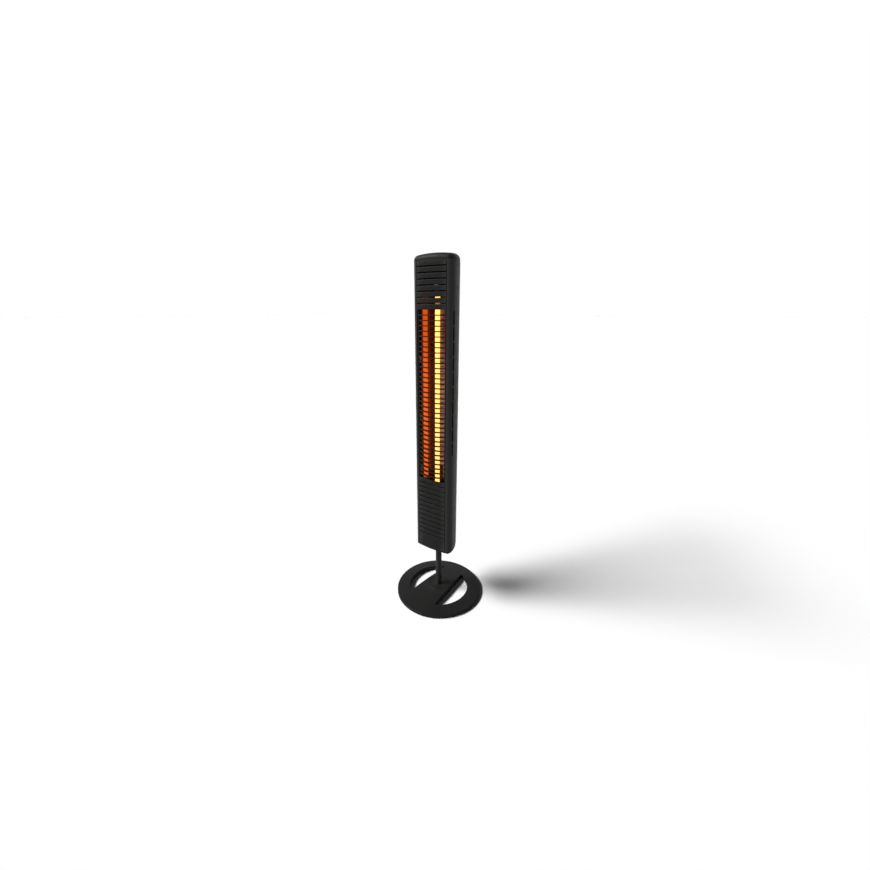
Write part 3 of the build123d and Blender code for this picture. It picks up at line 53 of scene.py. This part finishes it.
class Look:
    """A Principled material with short procedural chains, all in the object's own metres."""

    def __init__(self, name, color, roughness, metallic=0.0, specular=0.5):
        self.material = bpy.data.materials.new(name)
        self.material.use_nodes = True
        self.tree = self.material.node_tree
        self.shader = self.tree.nodes["Principled BSDF"]
        self.set("Base Color", (*color, 1))
        self.set("Roughness", roughness)
        self.set("Metallic", metallic)
        self.set("Specular IOR Level", specular)
        self.place = self.node("ShaderNodeTexCoord").outputs["Object"]

    def node(self, kind, **settings):
        made = self.tree.nodes.new(kind)
        for key, value in settings.items():
            setattr(made, key, value)
        return made

    def feed(self, target, value):
        """Give an input a plain value, or link it to an output."""
        if isinstance(value, bpy.types.NodeSocket):
            self.tree.links.new(value, target)
        else:
            target.default_value = value

    def set(self, socket, value):
        """Feed one of the shader's own inputs."""
        self.feed(self.shader.inputs[socket], value)

    def mapped(self, setting, value):
        """Object coordinates after one setting of a Mapping node: its Scale or its Rotation."""
        mapping = self.node("ShaderNodeMapping")
        mapping.inputs[setting].default_value = value
        self.feed(mapping.inputs["Vector"], self.place)
        return mapping.outputs["Vector"]

    def noise(self, scale, detail, stretch=None):
        """Noise, stretched by a factor along each axis if one is given."""
        made = self.node("ShaderNodeTexNoise")
        made.inputs["Scale"].default_value = scale
        made.inputs["Detail"].default_value = detail
        self.feed(made.inputs["Vector"], self.mapped("Scale", stretch) if stretch else self.place)
        return made.outputs["Fac"]

    def cells(self, scale):
        made = self.node("ShaderNodeTexVoronoi", feature="F1")
        made.inputs["Scale"].default_value = scale
        self.feed(made.inputs["Vector"], self.place)
        return made.outputs["Distance"]

    def axis(self, letter):
        split = self.node("ShaderNodeSeparateXYZ")
        self.feed(split.inputs[0], self.place)
        return split.outputs[letter]

    def math(self, operation, first, second=0.0):
        made = self.node("ShaderNodeMath", operation=operation)
        self.feed(made.inputs[0], first)
        self.feed(made.inputs[1], second)
        return made.outputs[0]

    def times(self, first, second):
        return self.math("MULTIPLY", first, second)

    def height_from(self, middle):
        """How far above or below a height a point is."""
        return self.math("ABSOLUTE", self.math("SUBTRACT", self.axis("Z"), middle))

    def span(self, value, low, high, to_low=0.0, to_high=1.0):
        """A value's range carried over to another range, smoothly and clamped."""
        made = self.node("ShaderNodeMapRange", interpolation_type="SMOOTHSTEP")
        self.feed(made.inputs["Value"], value)
        limits = {"From Min": low, "From Max": high, "To Min": to_low, "To Max": to_high}
        for socket, number in limits.items():
            made.inputs[socket].default_value = number
        return made.outputs["Result"]

    def mix(self, factor, first, second):
        """A blend of two colours, each a plain one or an output."""
        made = self.node("ShaderNodeMix", data_type="RGBA")
        self.feed(made.inputs["Factor"], factor)
        for socket, value in ((MIX_FIRST, first), (MIX_SECOND, second)):
            self.feed(made.inputs[socket], (*value, 1) if isinstance(value, tuple) else value)
        return made.outputs[MIX_RESULT]

    def edges(self):
        """1 on the sharp outer edges, 0 elsewhere."""
        pointiness = self.node("ShaderNodeNewGeometry").outputs["Pointiness"]
        return self.span(pointiness, SHARP_LOW, SHARP_HIGH)

    def bump(self, height, depth, strength):
        made = self.node("ShaderNodeBump")
        made.inputs["Strength"].default_value = strength
        made.inputs["Distance"].default_value = depth
        self.feed(made.inputs["Height"], height)
        self.set("Normal", made.outputs["Normal"])


# --- materials ----------------------------------------------------------------------------------
OPENING_MIDDLE = 0.7229  # height of the middle of the front opening
OPENING_HALF = 0.2706


def powder_coat():
    """Charcoal satin powder coat: fine orange peel, faint clouds, pale grains and rubbed edges."""
    look = Look("powder_coat", (0.011, 0.011, 0.011), 0.46, specular=0.06)
    cloud = look.span(look.noise(7, 3), 0.35, 0.65)
    flat = look.mix(cloud, (0.0098, 0.0098, 0.0096), (0.012, 0.012, 0.0116))
    grain = look.span(look.noise(1500, 1), 0.55, 0.75, 0, 0.5)
    speckled = look.mix(grain, flat, (0.017, 0.017, 0.0165))
    look.set("Base Color", look.mix(look.times(look.edges(), 0.45), speckled, (0.05, 0.05, 0.048)))
    look.set("Roughness", look.span(look.noise(45, 4), 0.3, 0.7, 0.42, 0.52))
    look.bump(look.noise(900, 2), 0.00012, 0.35)
    return look.material


BAKED_REACH = 0.03  # how far to each side of the lamp the bars are browner


def grille_coat():
    """Black paint on the bars, smoother than the panel's and a little browner in front of the lamp."""
    look = Look("grille_coat", (0.01, 0.009, 0.008), 0.35, specular=0.1)
    baked = look.span(look.math("ABSOLUTE", look.axis("X")), 0.0, BAKED_REACH, 0.7, 0.0)
    worn = look.times(baked, look.span(look.noise(220, 3), 0.3, 0.7, 0.5, 1.0))
    look.set("Base Color", look.mix(worn, (0.0075, 0.006, 0.0055), (0.016, 0.008, 0.005)))
    look.set("Roughness", look.span(look.noise(160, 3), 0.3, 0.7, 0.3, 0.42))
    look.bump(look.noise(1400, 2), 0.00008, 0.3)
    return look.material


TINT_LOW, TINT_HIGH = 0.76, 0.92  # the reflector's tints, partly painted reflection, deepen between these heights
WING_BLEND = 0.004  # half the width over which the left wing's tint becomes the right wing's
SHADE_BEGIN, SHADE_FULL = 0.004, 0.014  # the reflector's painted shade begins this far beyond the opening's ends, and is in full this far


def reflector_metal():
    """Bright sheet: a pale orange tint on the left wing, a pale purple one on the right, painted shade
    beyond the opening.

    This is fitted to the one photograph. The tints are partly painted reflection of the lamp and the studio.
    The real sheet may have one tint and reflect its studio.
    """
    look = Look("reflector_metal", (0.25, 0.13, 0.1), 0.1, metallic=0.9)
    # The wings' tints, deeper higher up, are partly the sheet's own colour and partly painted reflection of
    # the lamp and the studio.
    height = look.span(look.axis("Z"), TINT_LOW, TINT_HIGH)
    straw_with_painted_reflection = look.mix(height, (0.38, 0.125, 0.05), (0.29, 0.088, 0.025))
    mauve_with_painted_reflection = look.mix(height, (0.22, 0.15, 0.145), (0.12, 0.04, 0.035))
    sheet = look.mix(look.span(look.axis("X"), -WING_BLEND, WING_BLEND), straw_with_painted_reflection, mauve_with_painted_reflection)
    from_middle = look.height_from(OPENING_MIDDLE)
    # Painted shade: the sheet turns dark and rougher beyond the opening's ends.
    shade = look.span(from_middle, OPENING_HALF + SHADE_BEGIN, OPENING_HALF + SHADE_FULL, 0.0, 0.85)
    look.set("Base Color", look.mix(shade, sheet, (0.02, 0.01, 0.006)))
    rolled = look.noise(700, 2, (1, 1, 0.01))
    streaks = look.span(rolled, 0.3, 0.7, 0.08, 0.13)
    look.set("Roughness", look.math("ADD", streaks, look.times(shade, 0.3)))
    look.bump(rolled, 0.00002, 0.1)
    return look.material


def plate_metal():
    """Black-passivated sheet steel with faint spangles."""
    look = Look("plate_metal", (0.05, 0.048, 0.047), 0.42, metallic=1.0)
    spangle = look.cells(170)
    dark = look.span(spangle, 0.1, 0.8)
    look.set("Base Color", look.mix(dark, (0.04, 0.039, 0.038), (0.062, 0.06, 0.058)))
    look.set("Roughness", look.span(look.noise(120, 4), 0.3, 0.7, 0.36, 0.5))
    look.bump(spangle, 0.00005, 0.2)
    return look.material


def turned_metal(name, color, dark, roughness):
    """Screw and rod metal: fine drawn lines and slight dulling."""
    look = Look(name, color, roughness, metallic=1.0)
    dull = look.span(look.noise(260, 4), 0.35, 0.7)
    look.set("Base Color", look.mix(dull, color, dark))
    lines = look.noise(2500, 2, (1, 1, 0.12))
    look.set("Roughness", look.span(lines, 0.3, 0.7, roughness - 0.06, roughness + 0.1))
    look.bump(lines, 0.00003, 0.25)
    return look.material


EDGE_LIFT = 2.2  # how much paler than the plastic's light tone its edges are


def moulded(name, color, light, roughness, grain=1800):
    """Moulded plastic or rubber: spark-eroded grain, faint clouding and paler edges."""
    look = Look(name, color, roughness, specular=0.4)
    base = look.mix(look.span(look.noise(60, 3), 0.3, 0.7), color, light)
    pale = tuple(EDGE_LIFT * c for c in light)
    look.set("Base Color", look.mix(look.times(look.edges(), 0.4), base, pale))
    look.set("Roughness", look.span(look.noise(300, 3), 0.3, 0.7, roughness - 0.05, roughness + 0.08))
    look.bump(look.noise(grain, 2), 0.0001, 0.3)
    return look.material


def ceramic():
    """Dark unglazed ceramic with small rusty specks. The dark tone is a guess."""
    look = Look("ceramic", (0.06, 0.05, 0.045), 0.7, specular=0.2)
    specks = look.span(look.cells(650), 0.0, 0.16, 1.0, 0.0)
    warm = look.mix(look.span(look.noise(50, 3), 0.35, 0.7), (0.06, 0.052, 0.047), (0.04, 0.032, 0.027))
    look.set("Base Color", look.mix(look.times(specks, 0.5), warm, (0.11, 0.06, 0.035)))
    look.bump(look.noise(1600, 3), 0.0001, 0.4)
    return look.material


BRAID_LEAN, BRAID_TURN = 40, 45  # degrees that each of the two sets of strands is turned, either way


def lead_sleeve():
    """Dark woven sleeve on the lamp leads, in two crossed sets of fine strands. A guess."""
    look = Look("lead_sleeve", (0.04, 0.038, 0.034), 0.8, specular=0.1)
    braid = []
    for side in (1, -1):
        strand = look.node("ShaderNodeTexWave", wave_type="BANDS", bands_direction="X")
        strand.inputs["Scale"].default_value = 280
        strand.inputs["Distortion"].default_value = 0.6
        turned = look.mapped("Rotation", (0, radians(BRAID_LEAN * side), radians(BRAID_TURN * side)))
        look.feed(strand.inputs["Vector"], turned)
        braid.append(strand.outputs["Fac"])
    weave = look.math("MAXIMUM", braid[0], braid[1])
    look.set("Base Color", look.mix(weave, (0.016, 0.015, 0.014), (0.05, 0.047, 0.042)))
    look.bump(weave, 0.0002, 0.6)
    return look.material


LAMP_GLOW = (1.0, 0.42, 0.095)
LAMP_STRENGTH = 2.5
LAMP_LIMB = 0.06  # how bright the tube's outline is, as a share of its middle
GLOW_TURNS = 1550.0  # radians per metre of tube: one faint turn of the glow each 4 mm
GLOW_TOP = (1.030, 1.052)  # the glow fades out between these heights
GLOW_FOOT = (0.412, 0.436)
COLD_GLOW = 0.03
DIM_BAND = 1.0102  # height of a dimmer stretch, seen in the first slot above the opening; cause unknown
DIM_GLOW = 0.12
DIM_HALF, DIM_EDGE = 0.0035, 0.006  # it is in full this far from its middle, and gone this far


def quartz():
    """The lit tube: brightest along its middle, with faint turns and unlit ends.

    Its outline and its dimmer stretch are fitted to the one photograph.
    """
    look = Look("quartz", (0.35, 0.12, 0.06), 0.12, specular=0.5)
    turns = look.math("SINE", look.times(look.axis("Z"), GLOW_TURNS))
    level = look.span(turns, -1.0, 1.0, 0.86 * LAMP_STRENGTH, 1.12 * LAMP_STRENGTH)
    top = look.span(look.axis("Z"), *GLOW_TOP, 1.0, COLD_GLOW)
    foot = look.span(look.axis("Z"), *GLOW_FOOT, COLD_GLOW, 1.0)
    facing = look.node("ShaderNodeLayerWeight").outputs["Facing"]
    limb = look.span(facing, 0.38, 0.62, 1.0, LAMP_LIMB)
    band = look.span(look.height_from(DIM_BAND), DIM_HALF, DIM_EDGE, DIM_GLOW, 1.0)
    look.set("Emission Color", (*LAMP_GLOW, 1))
    lit = look.times(look.times(level, top), foot)
    look.set("Emission Strength", look.times(lit, look.times(limb, band)))
    look.bump(look.noise(90, 3), 0.0002, 0.15)
    return look.material


def element():
    """The ribbon inside the tube, glowing a little unevenly. The lit tube hides it."""
    look = Look("element", (0.05, 0.04, 0.04), 0.6)
    look.set("Emission Color", (1.0, 0.3, 0.08, 1))
    look.set("Emission Strength", look.span(look.noise(500, 3), 0.3, 0.7, 6.0, 9.0))
    return look.material


LOOKS = {
    "powder_coat": powder_coat(),
    "grille_coat": grille_coat(),
    "foot_rubber": moulded("foot_rubber", (0.011, 0.011, 0.011), (0.02, 0.02, 0.02), 0.8, 700),
    "steel": turned_metal("steel", (0.3, 0.3, 0.3), (0.2, 0.2, 0.205), 0.36),
    "dark_screw": turned_metal("dark_screw", (0.035, 0.035, 0.037), (0.02, 0.02, 0.021), 0.36),
    "spring_steel": turned_metal("spring_steel", (0.42, 0.42, 0.45), (0.3, 0.31, 0.36), 0.3),
    "reflector_metal": reflector_metal(),
    "plate_metal": plate_metal(),
    "quartz": quartz(),
    "element": element(),
    "ceramic": ceramic(),
    "black_plastic": moulded("black_plastic", (0.013, 0.013, 0.014), (0.02, 0.02, 0.021), 0.42),
    "seal_rubber": moulded("seal_rubber", (0.014, 0.014, 0.014), (0.024, 0.024, 0.024), 0.85, 900),
    "brass": turned_metal("brass", (0.72, 0.5, 0.2), (0.56, 0.37, 0.14), 0.3),
    "lead_sleeve": lead_sleeve(),
}

for subpart in frame["record"]["subparts"]:
    for slot in frame["nodes"][subpart["node"]].material_slots:
        slot.material = LOOKS[subpart["material_slot"]]

# --- world: pure white where it is seen directly, and a weak light from all sides -----------------
SKY_LEVEL = 0.03


def seen_directly(tree):
    """1 for camera, glossy and transmission rays."""
    path = tree.nodes.new("ShaderNodeLightPath")
    total = path.outputs["Is Camera Ray"]
    for name in ("Is Glossy Ray", "Is Transmission Ray"):
        joined = tree.nodes.new("ShaderNodeMath")
        joined.operation = "MAXIMUM"
        tree.links.new(total, joined.inputs[0])
        tree.links.new(path.outputs[name], joined.inputs[1])
        total = joined.outputs[0]
    return total


world = bpy.data.worlds.new("studio")
world.use_nodes = True
scene.world = world
world_tree = world.node_tree
sky = world_tree.nodes["Background"]
shade = world_tree.nodes.new("ShaderNodeMix")
shade.data_type = "RGBA"
shade.inputs[MIX_FIRST].default_value = (SKY_LEVEL, SKY_LEVEL, SKY_LEVEL, 1)
shade.inputs[MIX_SECOND].default_value = (1, 1, 1, 1)
world_tree.links.new(seen_directly(world_tree), shade.inputs["Factor"])
world_tree.links.new(shade.outputs[MIX_RESULT], sky.inputs["Color"])
sky.inputs["Strength"].default_value = 1

# --- floor --------------------------------------------------------------------------------------
FLOOR_REACH = 60  # to each side

floor_mesh = bpy.data.meshes.new("floor")
floor_mesh.from_pydata([(-1, -1, 0), (1, -1, 0), (1, 1, 0), (-1, 1, 0)], [], [(0, 1, 2, 3)])
floor = bpy.data.objects.new("floor", floor_mesh)
floor.scale = (FLOOR_REACH, FLOOR_REACH, 1)
scene.collection.objects.link(floor)
floor_look = Look("floor", (0.95, 0.95, 0.95), 0.9, specular=0.0)
paper = floor_look.mix(floor_look.noise(4, 2), (0.945, 0.945, 0.945), (0.955, 0.955, 0.955))
floor_look.set("Base Color", paper)
floor_mesh.materials.append(floor_look.material)

# --- lamps: five suns side by side, each a degree lower than the one before -----------------------
KEY_HEADING = 219
KEY_ELEVATION = 41
KEY_STEP = 6
KEY_SPREAD = 12
KEY_STRENGTH = 0.98


def sun(name, heading, elevation, spread, strength):
    """A far studio lamp: heading is the side of the object that it stands on, from +X towards +Y."""
    lamp = bpy.data.lights.new(name, "SUN")
    lamp.angle = radians(spread)
    lamp.energy = strength
    holder = bpy.data.objects.new(name, lamp)
    level = cos(radians(elevation))
    towards = Vector((cos(radians(heading)) * level, sin(radians(heading)) * level, sin(radians(elevation))))
    holder.rotation_euler = towards.to_track_quat("Z", "Y").to_euler()
    scene.collection.objects.link(holder)


for place in range(-2, 3):
    sun(f"key_{place + 3}", KEY_HEADING + KEY_STEP * place, KEY_ELEVATION - place, KEY_SPREAD, KEY_STRENGTH)
